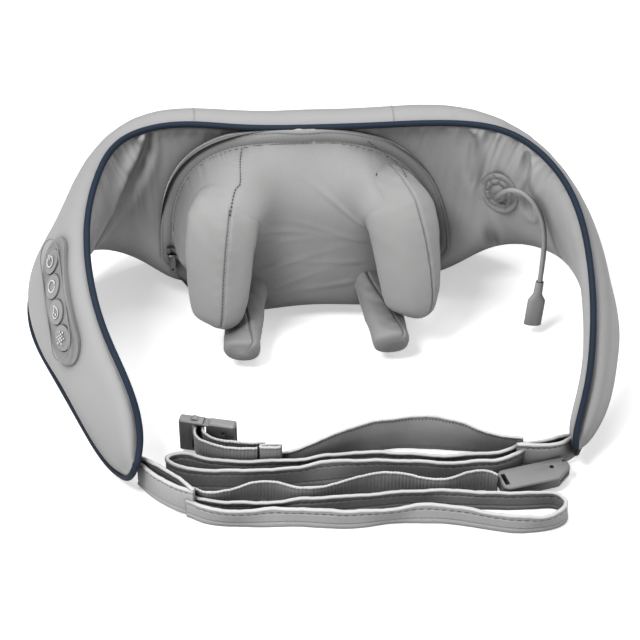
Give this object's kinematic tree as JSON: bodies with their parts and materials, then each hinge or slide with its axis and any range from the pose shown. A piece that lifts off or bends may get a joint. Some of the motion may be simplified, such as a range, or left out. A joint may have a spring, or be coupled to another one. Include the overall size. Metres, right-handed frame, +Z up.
{
  "type": "shiatsu neck massager",
  "caption": "Padded U-shaped neck massager with hooked kneading claws under a stretch hood, side keypad, charging lead and buckled hand straps.",
  "frame": {"origin": "centre of the flat base strip under the rear pod, on the surface the massager stands on", "axes": "+Z up, +Y towards the back of the collar, +X towards the right arm, so the claws and straps point to -Y"},
  "size_m": [0.4668, 0.3818, 0.1642],
  "materials": {
    "cover_fabric": "fine-grain soft coated fabric, light grey",
    "lining_fabric": "smooth soft fabric lining, grey",
    "piping_cord": "woven piping cord, dark navy",
    "padding": "soft foam padding",
    "hood_fabric": "brushed stretch fabric, grey",
    "sleeve_fabric": "brushed stretch fabric, grey",
    "zip_tape": "woven zip tape, grey",
    "zip_metal": "satin grey painted metal",
    "heater_film": "amber polyimide heater film",
    "base_rubber": "anti-slip rubber, dark grey",
    "housing_plastic": "moulded plastic, charcoal",
    "gear_plastic": "moulded acetal, off-white",
    "steel": "turned steel",
    "hub_alloy": "die-cast alloy",
    "bearing_bronze": "bronze",
    "motor_cap_plastic": "moulded plastic, black",
    "magnet": "ferrite magnet",
    "rotor_copper": "copper winding",
    "keypad_plastic": "soft-touch moulded plastic, mid grey",
    "button_plastic": "soft-touch moulded plastic, grey",
    "circuit_board": "green solder mask",
    "cell_wrap": "shrink wrap, blue",
    "wire_sleeve": "wire sleeve, black",
    "lead_rubber": "soft rubber, mid grey",
    "lead_plastic": "moulded plastic, grey",
    "strap_fabric": "smooth woven strap fabric, grey",
    "velour_fabric": "velour-faced strap, grey",
    "ribbed_webbing": "ribbed elastic webbing, grey",
    "buckle_plastic": "moulded plastic, mid grey"
  },
  "bodies": {
    "root": {"outer_cover": "cover_fabric", "inner_cover": "lining_fabric", "cover_piping": "piping_cord", "left_arm_foam": "padding", "right_arm_foam": "padding", "rear_foam": "padding", "massage_hood": "hood_fabric", "hood_zip": "zip_tape", "zip_slider": "zip_metal", "heating_pad": "heater_film", "base_strip": "base_rubber", "gearbox_front": "housing_plastic", "gearbox_rear": "housing_plastic", "battery_cradles": "housing_plastic", "gearbox_screws": "steel", "motor_can": "steel", "shaft_bushes": "bearing_bronze", "motor_end_cap": "motor_cap_plastic", "motor_magnets": "magnet", "keypad_plate": "keypad_plastic", "control_board": "circuit_board", "main_board": "circuit_board", "battery_cells": "cell_wrap", "wiring_harness": "wire_sleeve", "charge_grommet": "lead_rubber", "charge_cord": "lead_rubber", "charge_socket": "lead_plastic", "left_hand_loop": "strap_fabric", "right_hand_loop": "strap_fabric", "strap_roots": "strap_fabric", "wide_strap": "velour_fabric", "elastic_webbing": "ribbed_webbing", "adjuster_webbing": "ribbed_webbing", "buckle_socket": "buckle_plastic", "buckle_plug": "buckle_plastic"},
    "worm_rotor": {"worm_shaft": "bearing_bronze", "motor_rotor": "rotor_copper"},
    "left_drive": {"left_worm_wheel": "gear_plastic", "left_output_shaft": "steel", "left_tilted_hub": "hub_alloy", "left_hub_cap_and_screw": "steel"},
    "right_drive": {"right_worm_wheel": "gear_plastic", "right_output_shaft": "steel", "right_tilted_hub": "hub_alloy", "right_hub_cap_and_screw": "steel"},
    "left_claw": {"left_claw_bearing": "steel", "left_claw_frame": "housing_plastic", "left_finger_pads": "padding", "left_upper_sleeve": "sleeve_fabric", "left_lower_sleeve": "sleeve_fabric"},
    "right_claw": {"right_claw_bearing": "steel", "right_claw_frame": "housing_plastic", "right_finger_pads": "padding", "right_upper_sleeve": "sleeve_fabric", "right_lower_sleeve": "sleeve_fabric"},
    "power_button": {"power_button": "button_plastic"},
    "direction_button": {"direction_button": "button_plastic"},
    "heat_button": {"heat_button": "button_plastic"},
    "intensity_button": {"intensity_button": "button_plastic"},
    "zip_pull": {"zip_pull": "zip_metal"}
  },
  "joints": [
    {"name": "left_drive_spin", "type": "hinge", "parent": "root", "child": "left_drive", "pos_m": [-0.046, 0.012, 0.082], "axis": [0, 1, 0], "continuous": true},
    {"name": "right_drive_spin", "type": "hinge", "parent": "root", "child": "right_drive", "pos_m": [0.046, 0.012, 0.082], "axis": [0, 1, 0], "continuous": true},
    {"name": "worm_spin", "type": "hinge", "parent": "root", "child": "worm_rotor", "pos_m": [0, 0.012, 0.082], "axis": [0, 0, 1], "continuous": true},
    {"name": "left_claw_wobble", "type": "hinge", "parent": "left_drive", "child": "left_claw", "pos_m": [-0.046, -0.024, 0.082], "axis": [0, 0.9976, 0.0698], "continuous": true},
    {"name": "right_claw_wobble", "type": "hinge", "parent": "right_drive", "child": "right_claw", "pos_m": [0.046, -0.024, 0.082], "axis": [0, 0.9976, 0.0698], "continuous": true},
    {"name": "power_button_press", "type": "slide", "parent": "root", "child": "power_button", "axis": [0.8302, 0.3395, -0.4421], "range_m": [0, 0.0008]},
    {"name": "direction_button_press", "type": "slide", "parent": "root", "child": "direction_button", "axis": [0.8302, 0.3395, -0.4421], "range_m": [0, 0.0008]},
    {"name": "heat_button_press", "type": "slide", "parent": "root", "child": "heat_button", "axis": [0.8302, 0.3395, -0.4421], "range_m": [0, 0.0008]},
    {"name": "intensity_button_press", "type": "slide", "parent": "root", "child": "intensity_button", "axis": [0.8302, 0.3395, -0.4421], "range_m": [0, 0.0008]},
    {"name": "zip_pull_swing", "type": "hinge", "parent": "root", "child": "zip_pull", "pos_m": [-0.113, -0.0349, 0.055], "axis": [-1, 0, 0], "range_deg": [0, 90]}
  ],
  "couplings": [
    {"joint": "right_drive_spin", "follows": "left_drive_spin", "ratio": -1},
    {"joint": "worm_spin", "follows": "left_drive_spin", "ratio": 60},
    {"joint": "left_claw_wobble", "follows": "left_drive_spin", "ratio": -1},
    {"joint": "right_claw_wobble", "follows": "left_drive_spin", "ratio": 1}
  ]
}
